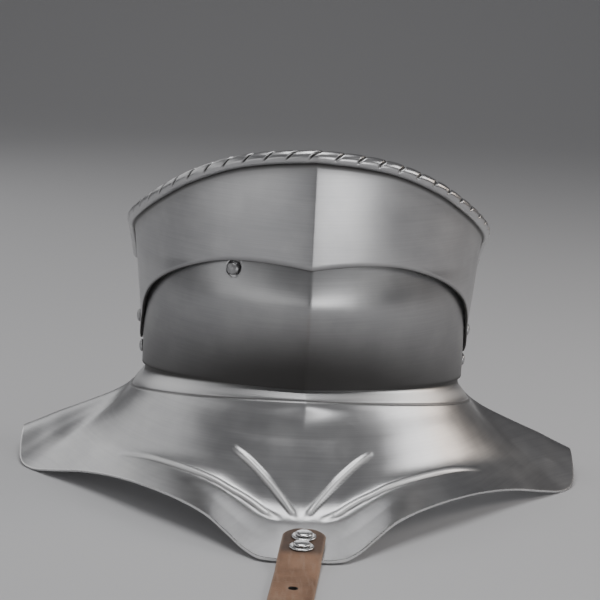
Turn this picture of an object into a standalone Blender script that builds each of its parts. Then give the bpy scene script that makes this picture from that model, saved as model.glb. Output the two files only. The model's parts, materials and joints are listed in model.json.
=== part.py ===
"""Falling bevor: a steel guard for the chin and neck, with a lame that drops and a leather strap.

The plates are shaped in the wearer's upright frame: the neck is the Z axis, the keel points to -Y,
and heights count from the chin plate's lower edge. The finished piece then leans back until the
gorget plate's point and wings lie on the ground, which is how it stands by itself.
"""

import math

import bmesh
import bpy
from mathutils import Matrix, Vector

MM = 0.001

# Plates and the clearance between pieces that lie on each other
PLATE_WALL = 1.5 * MM
LAME_WALL = 1.4 * MM
FIT_GAP = 0.4 * MM
SEAT_GAP = 0.3 * MM
STRAP_SEAT_GAP = 0.7 * MM

# Chin plate: a cup with flat sides and a keel, which reaches furthest at the height of the chin
CUP_HALF_WIDTH = 94.8 * MM
CUP_SIDE_RUN = 26 * MM
KEEL = 11 * MM
REACH_AT_FOOT = 94 * MM
REACH_AT_CHIN = 113 * MM
REACH_AT_TOP = 105 * MM
CHIN_HEIGHT = 48 * MM
CHIN_PLATE_HEIGHT = 84 * MM
CHIN_PLATE_REAR_HEIGHT = 46 * MM
CHIN_BREAK = 3.5 * MM

# Falling lame: a band outside the chin plate that hangs on one rivet at each side
LAME_GAP = 0.6 * MM
LAME_FRONT_FOOT = 67.5 * MM
LAME_FRONT_RIM = 129.7 * MM
LAME_REAR_RIM = 61 * MM
LAME_FRONT_LEAN = 0.085
LAME_SIDE_FLARE = 0.105
LAME_TAIL_MARGIN = 13.5 * MM
ROPE_RADIUS = 3.6 * MM
ROPE_STAND = 0.5 * MM
ROPE_NOTCH_DEPTH = 1.0 * MM
ROPE_PITCH = 12.4 * MM

# Gorget plate: a collar inside the chin plate, a crease, and the plate over chest and shoulders. The
# collar stands upright so that the chin plate can rise round it, and its foot is this share of the
# way down to the crease
COLLAR_HEIGHT = 13 * MM
COLLAR_FOOT_SHARE = 0.34
CREASE_FLARE = 6 * MM
CREASE_FRONT_DROP = 3.5 * MM
CREASE_SIDE_DROP = 15 * MM
POINT_REACH = 73 * MM
POINT_DROP = 72 * MM
WING_HALF_SPAN = 165 * MM

# The keel flattens over this share of the way down the gorget plate, to this share of its depth
KEEL_FADE = 0.22
FADED_KEEL = 0.05

# Raised flutes that run down to the point. At its upper end a flute has this share of its width and
# height, and it has all of them after this share of its length. Its section has its foot and its
# crest at these shares of its half width
FLUTE_WIDTH = 4.2 * MM
FLUTE_HEIGHT = 1.3 * MM
FLUTE_START = 0.35
FLUTE_SWELL = 0.20
FLUTE_FOOT = 0.90
FLUTE_CREST = 0.45

# Rivets of the two plate joints
LAME_PIVOT_HEIGHT = 26 * MM
COLLAR_PIVOT_HEIGHT = 8 * MM
PIVOT_SETBACK = 2 * MM
RIVET_HEAD_RADIUS = 3.7 * MM
RIVET_HEAD_HEIGHT = 2.1 * MM
RIVET_TAIL_RADIUS = 3.2 * MM
RIVET_TAIL_HEIGHT = 0.9 * MM
RIVET_SHANK_RADIUS = 2.0 * MM

# Height up to which the lame lies flat on the chin plate's sides, to clear its rivets' heads
LAME_FLAT_TOP = LAME_PIVOT_HEIGHT + RIVET_HEAD_RADIUS + FIT_GAP

# Spring catch: a stud under the lame's edge, on a leaf spring behind the chin plate
STUD_RADIUS = 3.7 * MM
STUD_PROUD = 3.2 * MM
STUD_HEIGHT = 65.8 * MM
STUD_STATION = -0.215
STUD_HOLE_GAP = 1.0 * MM
STUD_SHOULDER = 0.3
LEAF_WALL = 0.8 * MM
LEAF_WIDTH = 8 * MM
LEAF_RISE = 5 * MM
LEAF_PIN_STATION = -0.36
LEAF_ROOT_STATION = -0.39
LEAF_TIP_STATION = -0.18
LEAF_PIN_RADIUS = 1.5 * MM

# Strap on the point, held by two rivets through round washers. A washer is rounded off from this
# share of its wall at the edge to this share of its radius at the top, and the strap's two ends
# keep this share of its width
STRAP_WIDTH = 23 * MM
STRAP_WALL = 2.4 * MM
STRAP_ON_PLATE = 37 * MM
STRAP_BEYOND_PLATE = 108 * MM
STRAP_SETTLE = 16 * MM
STRAP_TURN = math.radians(5.5)
STRAP_HOLE_RADIUS = 2.2 * MM
STRAP_FIRST_HOLE = 42 * MM
STRAP_HOLE_SPACING = 22 * MM
STRAP_HOLES = 3
STRAP_RIVETS = {"upper": 23.6 * MM, "lower": 9.0 * MM}
WASHER_RADIUS = 6.6 * MM
WASHER_WALL = 1.0 * MM
WASHER_TOP = 0.88
WASHER_EDGE = 0.60
STRAP_RIVET_RADIUS = 4.6 * MM
STRAP_RIVET_HEIGHT = 1.8 * MM
STRAP_END = 0.12

# Mesh: sides of the rope bead, steps from one notch to the next, rows of the lame's wall below the
# bead, rows of the chin plate, steps round the chin plate and the gorget plate, steps along a flute
# and along the strap, and the sides and dome rows of rivets, studs and washers
ROPE_SIDES = 7
ROPE_STEPS = 4
LAME_ROWS = 3
CHIN_ROWS = 8
CHIN_STEPS = 52
GORGET_STEPS = 52
FLUTE_STEPS = 12
STRAP_STEPS = 28
ROUND_SIDES = 14
DOME_ROWS = 3

# The lame's first row over its foot is at this share of its height, and the gorget plate's rows are
# at these shares of the way. Points closer than the weld distance become one
LAME_FIRST_ROW = 0.2
GORGET_WAYS = (0, 0.06, 0.15, 0.27, 0.40, 0.53, 0.63, 0.75, 0.88, 1)
BED_SAMPLES = 200
WELD_DISTANCE = 0.01 * MM

# Plan of all plates: a station runs from -1 at the left rear edge over 0 at the keel to 1 at the
# right rear edge, and the round front takes this share of it
ARC_SHARE = 0.78
SQUARENESS = 2.15

# Columns: station, height above the tail's lowest point as a share of the front foot's height above it
LAME_FOOT = (
    (0.00, 1.000),
    (0.05, 1.030),
    (0.12, 1.052),
    (0.20, 1.050),
    (0.26, 1.024),
    (0.33, 0.967),
    (0.39, 0.905),
    (0.45, 0.830),
    (0.52, 0.725),
    (0.58, 0.615),
    (0.65, 0.440),
    (0.70, 0.265),
    (0.74, 0.120),
    (0.78, 0.030),
    (0.82, 0.000),
    (0.88, 0.035),
    (0.94, 0.130),
    (1.00, 0.330),
)

# Columns: station, height above the rim's rear end as a share of the front's height above it
LAME_RIM = (
    (0.00, 1.000),
    (0.10, 0.970),
    (0.20, 0.911),
    (0.33, 0.777),
    (0.45, 0.625),
    (0.58, 0.478),
    (0.72, 0.350),
    (0.84, 0.228),
    (0.95, 0.085),
    (1.00, 0.000),
)

# Columns: station, height of the hidden top edge above its rear end as a share of the front's
CHIN_TOP = (
    (0.00, 1.000),
    (0.20, 0.980),
    (0.40, 0.740),
    (0.60, 0.400),
    (0.80, 0.100),
    (1.00, 0.000),
)

# Outer edge of the gorget plate. Columns: station, distance across as a share of the wing's half
# span, distance forward of the crease's front as a share of the point's reach, drop below it as a
# share of the point's drop
GORGET_EDGE = (
    (0.000, 0.000, 1.000, 1.000),
    (0.070, 0.125, 0.985, 0.994),
    (0.110, 0.178, 0.890, 0.958),
    (0.160, 0.232, 0.755, 0.885),
    (0.220, 0.303, 0.575, 0.795),
    (0.300, 0.400, 0.342, 0.735),
    (0.400, 0.521, 0.055, 0.702),
    (0.500, 0.636, -0.233, 0.702),
    (0.600, 0.752, -0.520, 0.733),
    (0.700, 0.873, -0.781, 0.790),
    (0.760, 0.940, -0.930, 0.815),
    (0.800, 0.980, -1.050, 0.795),
    (0.840, 0.996, -1.190, 0.725),
    (0.900, 1.000, -1.480, 0.575),
    (0.950, 0.994, -1.700, 0.615),
    (1.000, 0.970, -1.910, 0.710),
)

# Profile from the crease outwards. Columns: share of the way, share of the reach, share of the drop
FRONT_PROFILE = (
    (0.00, 0.00, 0.000),
    (0.08, 0.10, 0.090),
    (0.20, 0.19, 0.260),
    (0.38, 0.28, 0.560),
    (0.53, 0.36, 0.790),
    (0.63, 0.47, 0.900),
    (0.80, 0.72, 0.955),
    (1.00, 1.00, 1.000),
)
WING_PROFILE = (
    (0.00, 0.00, 0.000),
    (0.08, 0.09, 0.130),
    (0.20, 0.20, 0.260),
    (0.38, 0.38, 0.430),
    (0.55, 0.55, 0.580),
    (0.70, 0.70, 0.710),
    (0.84, 0.84, 0.850),
    (1.00, 1.00, 1.000),
)
WING_STATION = 0.84

# Flutes. Columns: station, share of the way from the crease to the edge, upper end first
INNER_FLUTE = (
    (0.180, 0.310),
    (0.125, 0.352),
    (0.078, 0.410),
    (0.040, 0.490),
    (0.012, 0.570),
)
OUTER_FLUTE = (
    (0.535, 0.690),
    (0.440, 0.625),
    (0.360, 0.605),
    (0.290, 0.592),
    (0.200, 0.575),
    (0.120, 0.555),
    (0.045, 0.590),
)


def read_table(table, share):
    """Values at a share, on a smooth curve through a table's rows."""
    share = min(max(share, table[0][0]), table[-1][0])
    last = len(table) - 1
    row = 0
    while row < last - 1 and table[row + 1][0] <= share:
        row += 1
    here, there = table[row], table[row + 1]
    before, after = table[max(row - 1, 0)], table[min(row + 2, last)]
    step = there[0] - here[0]
    t = (share - here[0]) / step
    values = []
    for column in range(1, len(here)):
        slope_here = (there[column] - before[column]) / (there[0] - before[0])
        slope_there = (after[column] - here[column]) / (after[0] - here[0])
        values.append(
            (2 * t**3 - 3 * t**2 + 1) * here[column]
            + (t**3 - 2 * t**2 + t) * step * slope_here
            + (3 * t**2 - 2 * t**3) * there[column]
            + (t**3 - t**2) * step * slope_there
        )
    return values


def keel_at(station):
    """How far the keel stands out at a station."""
    return KEEL * (1 - math.sin(min(abs(station) / ARC_SHARE, 1) * math.pi / 2)) ** 2


def plan_point(station, half_width, reach):
    """Point of a plate's plan: a keeled half oval in front and straight sides behind it."""
    side = 1 if station >= 0 else -1
    along = abs(station)
    if along <= ARC_SHARE:
        turn = along / ARC_SHARE * math.pi / 2
        across = half_width * math.sin(turn) ** (2 / SQUARENESS)
        oval = (reach - KEEL) * max(math.cos(turn), 0) ** (2 / SQUARENESS)
        forward = oval + keel_at(station)
    else:
        across = half_width
        forward = -CUP_SIDE_RUN * (along - ARC_SHARE) / (1 - ARC_SHARE)
    return Vector((side * across, -forward, 0))


def wall_point(station, height, form, offset=0):
    """Point of a standing wall, pushed outwards by an offset. The form gives half width and reach."""
    nudge = 0.002
    half_width, reach = form(station, height)
    before = plan_point(max(station - nudge, -1), half_width, reach)
    after = plan_point(min(station + nudge, 1), half_width, reach)
    along = (after - before).normalized()
    outwards = Vector((along.y, -along.x, 0))
    point = plan_point(station, half_width, reach) + outwards * offset
    return Vector((point.x, point.y, height))


def chin_reach(station, height):
    """Reach of the chin plate's keel, with a break at the chin that softens towards the sides."""
    below = REACH_AT_FOOT + (REACH_AT_CHIN - REACH_AT_FOOT) * height / CHIN_HEIGHT
    above_chin = (height - CHIN_HEIGHT) / (CHIN_PLATE_HEIGHT - CHIN_HEIGHT)
    above = REACH_AT_CHIN + (REACH_AT_TOP - REACH_AT_CHIN) * above_chin
    softness = CHIN_BREAK * (1 + 3 * abs(station) / ARC_SHARE)
    return (below + above - math.hypot(below - above, softness)) / 2


def chin_form(station, height):
    """Half width and reach of the chin plate's outer face."""
    return CUP_HALF_WIDTH, chin_reach(station, height)


def lame_form(station, height):
    """Half width and reach of the lame's inner face, which clears the chin plate and flares upwards."""
    rise = max(height - LAME_FLAT_TOP, 0)
    half_width = CUP_HALF_WIDTH + LAME_GAP + LAME_SIDE_FLARE * rise
    above_foot = max(height - LAME_FRONT_FOOT, 0)
    reach = chin_reach(station, min(height, LAME_FRONT_FOOT)) + LAME_GAP + LAME_FRONT_LEAN * above_foot
    return half_width, reach


def lame_foot(station):
    """Height of the lame's lower edge, which ends in a tail round the pivot rivet."""
    tail = LAME_PIVOT_HEIGHT - LAME_TAIL_MARGIN
    return tail + (LAME_FRONT_FOOT - tail) * read_table(LAME_FOOT, abs(station))[0]


def lame_rim(station):
    """Height of the middle of the roped rim."""
    return LAME_REAR_RIM + (LAME_FRONT_RIM - LAME_REAR_RIM) * read_table(LAME_RIM, abs(station))[0]


def chin_top(station):
    """Height of the chin plate's top edge, which the lame hides."""
    fall = CHIN_PLATE_HEIGHT - CHIN_PLATE_REAR_HEIGHT
    return CHIN_PLATE_REAR_HEIGHT + fall * read_table(CHIN_TOP, abs(station))[0]


def crease_drop(station):
    """Drop of the crease below the chin plate's lower edge."""
    share = min(abs(station) / ARC_SHARE, 1)
    return CREASE_FRONT_DROP + (CREASE_SIDE_DROP - CREASE_FRONT_DROP) * share**3


def crease_point(station):
    """Point on the crease between the gorget plate's collar and its spread."""
    return wall_point(station, 0, chin_form, CREASE_FLARE) - Vector((0, 0, crease_drop(station)))


def gorget_point(station, way):
    """Point on the gorget plate's outer face, from the crease at 0 to the outer edge at 1."""
    side = 1 if station >= 0 else -1
    across, forward, drop = read_table(GORGET_EDGE, abs(station))
    front = crease_point(0)
    start = crease_point(station)
    keel = keel_at(station)
    fade = min(way / KEEL_FADE, 1)
    start.y += (keel - KEEL * FADED_KEEL) * fade * fade * (3 - 2 * fade)
    end_x = side * across * WING_HALF_SPAN
    end_y = front.y - forward * POINT_REACH
    end_z = front.z - drop * POINT_DROP
    to_wing = min(abs(station) / WING_STATION, 1)
    front_out, front_down = read_table(FRONT_PROFILE, way)
    wing_out, wing_down = read_table(WING_PROFILE, way)
    out = front_out + (wing_out - front_out) * to_wing
    down = front_down + (wing_down - front_down) * to_wing
    return Vector((
        start.x + (end_x - start.x) * out,
        start.y + (end_y - start.y) * out,
        start.z + (end_z - start.z) * down,
    ))


def gorget_normal(station, way):
    """Direction out of the gorget plate's outer face."""
    nudge = 0.004
    along = gorget_point(min(station + nudge, 1), way) - gorget_point(max(station - nudge, -1), way)
    outwards = gorget_point(station, min(way + nudge, 1)) - gorget_point(station, max(way - nudge, 0))
    return outwards.cross(along).normalized()


STEEL = ((0.42, 0.42, 0.43), 0.28, 1.0)
LEATHER = ((0.17, 0.10, 0.07), 0.60, 0.0)
CUTTER = ((0.80, 0.20, 0.20), 0.50, 0.0)


def add_pivot(name, place, parent):
    """Empty at a place of the upright frame. A pivot is the empty and that place."""
    empty = bpy.data.objects.new(name, None)
    bpy.context.collection.objects.link(empty)
    empty.parent = parent[0] if parent else None
    empty.location = place - (parent[1] if parent else Vector())
    return empty, place


def add_piece(name, body, look, pivot):
    """Object from a bmesh in the upright frame, with its own material and its origin on its pivot."""
    bmesh.ops.remove_doubles(body, verts=body.verts, dist=WELD_DISTANCE)
    bmesh.ops.recalc_face_normals(body, faces=body.faces)
    mesh = bpy.data.meshes.new(name)
    body.to_mesh(mesh)
    body.free()
    mesh.transform(Matrix.Translation(-pivot[1]))
    mesh.shade_smooth()
    mesh.set_sharp_from_angle(angle=math.radians(35))
    colour, roughness, metallic = look
    material = bpy.data.materials.new(name)
    material.use_nodes = True
    shader = material.node_tree.nodes["Principled BSDF"]
    shader.inputs["Base Color"].default_value = (*colour, 1)
    shader.inputs["Roughness"].default_value = roughness
    shader.inputs["Metallic"].default_value = metallic
    mesh.materials.append(material)
    piece = bpy.data.objects.new(name, mesh)
    bpy.context.collection.objects.link(piece)
    piece.parent = pivot[0]
    return piece


def combine(piece, body, name, pivot, operation):
    """Cut a body out of a piece with DIFFERENCE, or join it on with UNION."""
    tool = add_piece(name, body, CUTTER if operation == "DIFFERENCE" else STEEL, pivot)
    tool.hide_render = True
    tool.display_type = "WIRE"
    step = piece.modifiers.new(name, "BOOLEAN")
    step.operation = operation
    step.solver = "EXACT"
    step.object = tool


def loft(loops):
    """Closed body through loops of equal length, with both ends filled across the wall."""
    body = bmesh.new()
    rings = [[body.verts.new(point) for point in loop] for loop in loops]
    count = len(rings[0])
    for ring, following in zip(rings, rings[1:]):
        for k in range(count):
            after = (k + 1) % count
            body.faces.new((ring[k], ring[after], following[after], following[k]))
    for ring in (rings[0], rings[-1]):
        for k in range(count // 2 - 1):
            body.faces.new((ring[k], ring[k + 1], ring[count - 2 - k], ring[count - 1 - k]))
    return body


def turned(profile, frame):
    """Body turned round a frame's Z axis, from rows of radius and height."""
    body = bmesh.new()
    line = [body.verts.new((radius, 0, height)) for radius, height in profile]
    edges = [body.edges.new(pair) for pair in zip(line, line[1:])]
    bmesh.ops.spin(
        body, geom=line + edges, axis=(0, 0, 1), cent=(0, 0, 0),
        steps=ROUND_SIDES, angle=2 * math.pi, use_merge=True,
    )
    bmesh.ops.remove_doubles(body, verts=body.verts, dist=WELD_DISTANCE)
    bmesh.ops.transform(body, matrix=frame, verts=body.verts)
    return body


def dome(radius, height, base):
    """Profile rows of a domed head, from its edge to its top."""
    turns = [k / DOME_ROWS * math.pi / 2 for k in range(DOME_ROWS + 1)]
    return [(radius * math.cos(turn), base + height * math.sin(turn)) for turn in turns]


def pointing(place, outwards):
    """Frame at a place whose Z axis points outwards."""
    turn = Vector((0, 0, 1)).rotation_difference(outwards)
    return Matrix.Translation(place) @ turn.to_matrix().to_4x4()


def pin(radius, half_length, frame):
    """Plain pin that reaches as far to both sides of a frame along its Z axis."""
    rows = [(0, -half_length), (radius, -half_length), (radius, half_length), (0, half_length)]
    return turned(rows, frame)


def stations(count):
    """Even stations from the left rear edge to the right rear edge."""
    return [-1 + 2 * k / count for k in range(count + 1)]


def pivot_frame(side, height):
    """Frame on a side's outer wall at a pivot rivet, with Z pointing outwards."""
    return pointing(Vector((side * CUP_HALF_WIDTH, PIVOT_SETBACK, height)), Vector((side, 0, 0)))


def wall_frame(station, height):
    """Frame on the chin plate's outer face, with Z pointing outwards."""
    place = wall_point(station, height, chin_form)
    return pointing(place, (wall_point(station, height, chin_form, MM) - place).normalized())


def rim_stations():
    """Stations at equal steps along the roped rim, a whole number of steps to each notch."""
    fine = stations(1200)
    places = [wall_point(station, lame_rim(station), lame_form) for station in fine]
    travelled = [0]
    for here, there in zip(places, places[1:]):
        travelled.append(travelled[-1] + (there - here).length)
    steps = ROPE_STEPS * round(travelled[-1] / ROPE_PITCH)
    found = []
    k = 0
    for step in range(steps + 1):
        goal = travelled[-1] * step / steps
        while k < len(fine) - 2 and travelled[k + 1] < goal:
            k += 1
        part = (goal - travelled[k]) / (travelled[k + 1] - travelled[k])
        found.append(fine[k] + (fine[k + 1] - fine[k]) * part)
    return found


def lame_loop(station, step):
    """Loop round the lame at a station: up the outer face, round the roped bead, down the inner face."""
    foot = lame_foot(station)
    rim = lame_rim(station)
    middle = wall_point(station, rim, lame_form, LAME_WALL + ROPE_STAND)
    outwards = (middle - wall_point(station, rim, lame_form)).normalized()
    first = -math.acos(-ROPE_STAND / ROPE_RADIUS)
    last = 2 * math.pi - math.acos(-(ROPE_STAND + LAME_WALL) / ROPE_RADIUS)
    top = rim + ROPE_RADIUS * math.sin(first)
    bend = max(LAME_FLAT_TOP, foot + LAME_FIRST_ROW * (top - foot))
    heights = [foot] + [bend + (top - bend) * row / (LAME_ROWS - 1) for row in range(LAME_ROWS - 1)]
    bead = []
    for k in range(ROPE_SIDES + 1):
        turn = first + (last - first) * k / ROPE_SIDES
        notched = (step - k) % ROPE_STEPS == 0 and 0 < k < ROPE_SIDES
        radius = ROPE_RADIUS - (ROPE_NOTCH_DEPTH if notched else 0)
        bead.append(middle + outwards * radius * math.cos(turn) + Vector((0, 0, radius * math.sin(turn))))
    outer = [wall_point(station, height, lame_form, LAME_WALL) for height in heights]
    inner = [wall_point(station, height, lame_form) for height in heights]
    return outer + bead + inner[::-1]


def make_upper_lame(pivot):
    """Falling lame, its rim rolled outwards and filed as a rope."""
    loops = [lame_loop(station, step) for step, station in enumerate(rim_stations())]
    piece = add_piece("upper_lame", loft(loops), STEEL, pivot)
    for side in (-1, 1):
        hole = pin(RIVET_SHANK_RADIUS + FIT_GAP, 4 * LAME_WALL, pivot_frame(side, LAME_PIVOT_HEIGHT))
        combine(piece, hole, f"lame_hole_{side}", pivot, "DIFFERENCE")


def make_chin_plate(pivot):
    """Chin plate, raised from one sheet, with holes for its rivets and for the catch."""
    loops = []
    for station in stations(CHIN_STEPS):
        heights = [chin_top(station) * row / CHIN_ROWS for row in range(CHIN_ROWS + 1)]
        outer = [wall_point(station, height, chin_form) for height in heights]
        inner = [wall_point(station, height, chin_form, -PLATE_WALL) for height in heights]
        loops.append(outer + inner[::-1])
    piece = add_piece("chin_plate", loft(loops), STEEL, pivot)
    through = 4 * PLATE_WALL
    holes = [("leaf_pin_hole", LEAF_PIN_RADIUS + FIT_GAP, leaf_pin_frame())]
    holes.append(("stud_hole", STUD_RADIUS + STUD_HOLE_GAP, wall_frame(STUD_STATION, STUD_HEIGHT)))
    for side in (-1, 1):
        for label, height in (("lame", LAME_PIVOT_HEIGHT), ("collar", COLLAR_PIVOT_HEIGHT)):
            holes.append((f"{label}_rivet_hole_{side}", RIVET_SHANK_RADIUS + FIT_GAP, pivot_frame(side, height)))
    for name, radius, frame in holes:
        combine(piece, pin(radius, through, frame), name, pivot, "DIFFERENCE")


def gorget_rows(station):
    """Places up the gorget plate's outer face from the collar's top, each with the direction out of it."""
    rows = []
    base = wall_point(station, 0, chin_form, -PLATE_WALL - FIT_GAP)
    outwards = (wall_point(station, 0, chin_form) - base).normalized()
    for height in (COLLAR_HEIGHT, COLLAR_HEIGHT / 2, -COLLAR_FOOT_SHARE * crease_drop(station)):
        rows.append((base + Vector((0, 0, height)), outwards))
    for way in GORGET_WAYS:
        rows.append((gorget_point(station, way), gorget_normal(station, way)))
    return rows


def flute_loops(path, side):
    """Loops along a low rounded ridge on the gorget plate, which fades at its upper end."""
    table = [(k / (len(path) - 1), *row) for k, row in enumerate(path)]
    loops = []
    for step in range(FLUTE_STEPS + 1):
        share = step / FLUTE_STEPS
        station, way = read_table(table, share)
        before = read_table(table, max(share - 0.01, 0))
        after = read_table(table, min(share + 0.01, 1))
        along = gorget_point(side * after[0], after[1]) - gorget_point(side * before[0], before[1])
        up = gorget_normal(side * station, way)
        across = along.normalized().cross(up)
        place = gorget_point(side * station, way)
        swell = FLUTE_START + (1 - FLUTE_START) * min(share / FLUTE_SWELL, 1)
        half = FLUTE_WIDTH / 2 * swell
        height = FLUTE_HEIGHT * swell
        sunk = PLATE_WALL / 2
        loops.append([
            place - across * half - up * sunk,
            place - across * half * FLUTE_FOOT,
            place - across * half * FLUTE_CREST + up * height,
            place + across * half * FLUTE_CREST + up * height,
            place + across * half * FLUTE_FOOT,
            place + across * half - up * sunk,
        ])
    return loops


def make_gorget_plate(pivot):
    """Gorget plate with its collar, holes for its rivets and four raised flutes."""
    loops = []
    for station in stations(GORGET_STEPS):
        rows = gorget_rows(station)
        outer = [place for place, outwards in rows]
        inner = [place - outwards * PLATE_WALL for place, outwards in rows]
        loops.append(outer + inner[::-1])
    piece = add_piece("gorget_plate", loft(loops), STEEL, pivot)
    for side in (-1, 1):
        for label, path in (("inner", INNER_FLUTE), ("outer", OUTER_FLUTE)):
            combine(piece, loft(flute_loops(path, side)), f"{label}_flute_{side}", pivot, "UNION")
        hole = pin(RIVET_SHANK_RADIUS + FIT_GAP, 5 * PLATE_WALL, pivot_frame(side, COLLAR_PIVOT_HEIGHT))
        combine(piece, hole, f"collar_hole_{side}", pivot, "DIFFERENCE")
    for label, distance in STRAP_RIVETS.items():
        hole = pin(RIVET_SHANK_RADIUS + FIT_GAP, 3 * PLATE_WALL, strap_frame(distance))
        combine(piece, hole, f"{label}_strap_rivet_hole", pivot, "DIFFERENCE")


def rivet_profile(outer_face, inner_face, head_radius, head_height):
    """Profile of a rivet that holds everything between two faces, its tail hammered to a low disc."""
    under = inner_face - SEAT_GAP
    over = outer_face + SEAT_GAP
    tail = [
        (0, under - RIVET_TAIL_HEIGHT),
        (RIVET_TAIL_RADIUS, under - RIVET_TAIL_HEIGHT),
        (RIVET_TAIL_RADIUS, under),
        (RIVET_SHANK_RADIUS, under),
        (RIVET_SHANK_RADIUS, over),
    ]
    return tail + dome(head_radius, head_height, over)


def make_plate_rivets(lame_pivot, collar_pivot):
    """Round-headed rivets that the lame and the chin plate turn on."""
    joints = (
        ("lame", LAME_PIVOT_HEIGHT, LAME_GAP + LAME_WALL, -PLATE_WALL, lame_pivot),
        ("collar", COLLAR_PIVOT_HEIGHT, 0, -2 * PLATE_WALL - FIT_GAP, collar_pivot),
    )
    for label, height, outer_face, inner_face, pivot in joints:
        profile = rivet_profile(outer_face, inner_face, RIVET_HEAD_RADIUS, RIVET_HEAD_HEIGHT)
        for side, hand in ((-1, "right"), (1, "left")):
            body = turned(profile, pivot_frame(side, height))
            add_piece(f"{hand}_{label}_rivet", body, STEEL, pivot)


def leaf_height(station):
    """Height of the leaf spring's middle line, which climbs behind the lame towards its root."""
    return STUD_HEIGHT + LEAF_RISE * (station - STUD_STATION) / (LEAF_PIN_STATION - STUD_STATION)


def leaf_pin_frame():
    """Frame on the chin plate's outer face where the leaf spring is pinned to it."""
    return wall_frame(LEAF_PIN_STATION, leaf_height(LEAF_PIN_STATION))


def make_catch_spring(pivot):
    """Stud on a leaf spring that lies along the chin plate's inner face, one piece with its root pin."""
    steps = 12
    near = -PLATE_WALL - FIT_GAP
    far = near - LEAF_WALL
    loops = []
    for step in range(steps + 1):
        station = LEAF_ROOT_STATION + (LEAF_TIP_STATION - LEAF_ROOT_STATION) * step / steps
        low = leaf_height(station) - LEAF_WIDTH / 2
        high = low + LEAF_WIDTH
        corners = ((low, near), (high, near), (high, far), (low, far))
        loops.append([wall_point(station, height, chin_form, offset) for height, offset in corners])
    piece = add_piece("catch_spring", loft(loops), STEEL, pivot)
    root = near - LEAF_WALL / 2
    shoulder = STUD_PROUD * STUD_SHOULDER
    stud = [(0, root), (STUD_RADIUS, root)] + dome(STUD_RADIUS, STUD_PROUD - shoulder, shoulder)
    peg = [(0, root), (LEAF_PIN_RADIUS, root), (LEAF_PIN_RADIUS, 0), (0, 0)]
    combine(piece, turned(stud, wall_frame(STUD_STATION, STUD_HEIGHT)), "stud_body", pivot, "UNION")
    combine(piece, turned(peg, leaf_pin_frame()), "leaf_peg", pivot, "UNION")


def washer_seat(distance):
    """Height over the strap's bed at which a flat washer rests on the strap."""
    to_frame = strap_frame(distance).inverted()
    around = [strap_point(0, side * WASHER_RADIUS - distance, STRAP_WALL) for side in (-1, 0, 1)]
    return max((to_frame @ place).z for place in around) + SEAT_GAP


def strap_rivet_faces(distance):
    """Heights over the strap's bed of the washer's top and of the plate's underside."""
    place, up, rise = point_bed(distance)
    return washer_seat(distance) + WASHER_WALL, -rise - STRAP_SEAT_GAP - PLATE_WALL


def standing():
    """Lean of the ground under the upright frame, and the front point that touches it."""
    front = crease_point(0).y
    edge = []
    for station in stations(120):
        outer = gorget_point(station, 1)
        edge += [outer, outer - gorget_normal(station, 1) * PLATE_WALL]
    feet = [place for place in edge if place.y < front]
    wings = [place for place in edge if place.y > front + POINT_REACH / 2]
    for distance in STRAP_RIVETS.values():
        under = strap_rivet_faces(distance)[1] - SEAT_GAP - RIVET_TAIL_HEIGHT
        for side in (-1, 1):
            feet.append(strap_frame(distance) @ Vector((0, side * RIVET_TAIL_RADIUS, under)))
    leans = [min(math.atan2(wing.z - foot.z, wing.y - foot.y) for wing in wings) for foot in feet]
    lean = max(leans)
    return lean, feet[leans.index(lean)]


def ground_frame():
    """Matrix from the upright frame to the ground's, with the ground at Z = 0."""
    lean, touching = standing()
    tilt = Matrix.Rotation(-lean, 4, "X")
    return Matrix.Translation((0, 0, -(tilt @ touching).z)) @ tilt


def point_bed(distance):
    """Place on the gorget plate a distance back from its edge, the way up, and a flat strap's rise there."""
    way = 1
    travelled = 0
    place = gorget_point(0, way)
    while travelled < distance:
        way -= 1 / BED_SAMPLES
        following = gorget_point(0, way)
        travelled += (following - place).length
        place = following
    up = gorget_normal(0, way)
    beside = 0
    while gorget_point(beside, way).x < STRAP_WIDTH / 2:
        beside += 1 / BED_SAMPLES
    rise = max((gorget_point(beside, way) - place).dot(up), 0)
    return place, up, rise


def strap_bed(distance):
    """Place under the strap's middle at a distance beyond the plate's edge, and the direction up."""
    if distance <= 0:
        place, up, rise = point_bed(-distance)
        return place + up * (rise + STRAP_SEAT_GAP), up
    to_ground = ground_frame()
    place, up = strap_bed(0)
    edge = to_ground @ place
    settled = min(distance / STRAP_SETTLE, 1)
    eased = settled * settled * (3 - 2 * settled)
    ground_up = to_ground.inverted().to_3x3() @ Vector((0, 0, 1))
    laid = Vector((0, edge.y - distance, edge.z * (1 - eased)))
    return to_ground.inverted() @ laid, up.lerp(ground_up, eased).normalized()


def strap_point(across, along, lift):
    """Point of the strap, turned a little on its lower rivet and lifted off its bed."""
    from_rivet = along + STRAP_RIVETS["lower"]
    distance = from_rivet * math.cos(STRAP_TURN) + across * math.sin(STRAP_TURN) - STRAP_RIVETS["lower"]
    place, up = strap_bed(distance)
    sideways = across * math.cos(STRAP_TURN) - from_rivet * math.sin(STRAP_TURN)
    return place + Vector((sideways, 0, 0)) + up * lift


def strap_frame(distance, lift=0):
    """Frame on the strap's middle line at a distance back from the plate's edge, with Z pointing up."""
    place = strap_point(0, -distance, lift)
    return pointing(place, (strap_point(0, -distance, lift + MM) - place).normalized())


def strap_half_width(along):
    """Half width of the strap, with a rounded end on the plate and a pointed free end."""
    half = STRAP_WIDTH / 2
    from_top = along + STRAP_ON_PLATE
    from_tip = STRAP_BEYOND_PLATE - along
    top = math.sqrt(max(1 - max(1 - from_top / half, 0) ** 2, 0))
    tip = math.sqrt(min(from_tip / STRAP_WIDTH, 1))
    return half * max(min(top, tip), STRAP_END)


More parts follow.
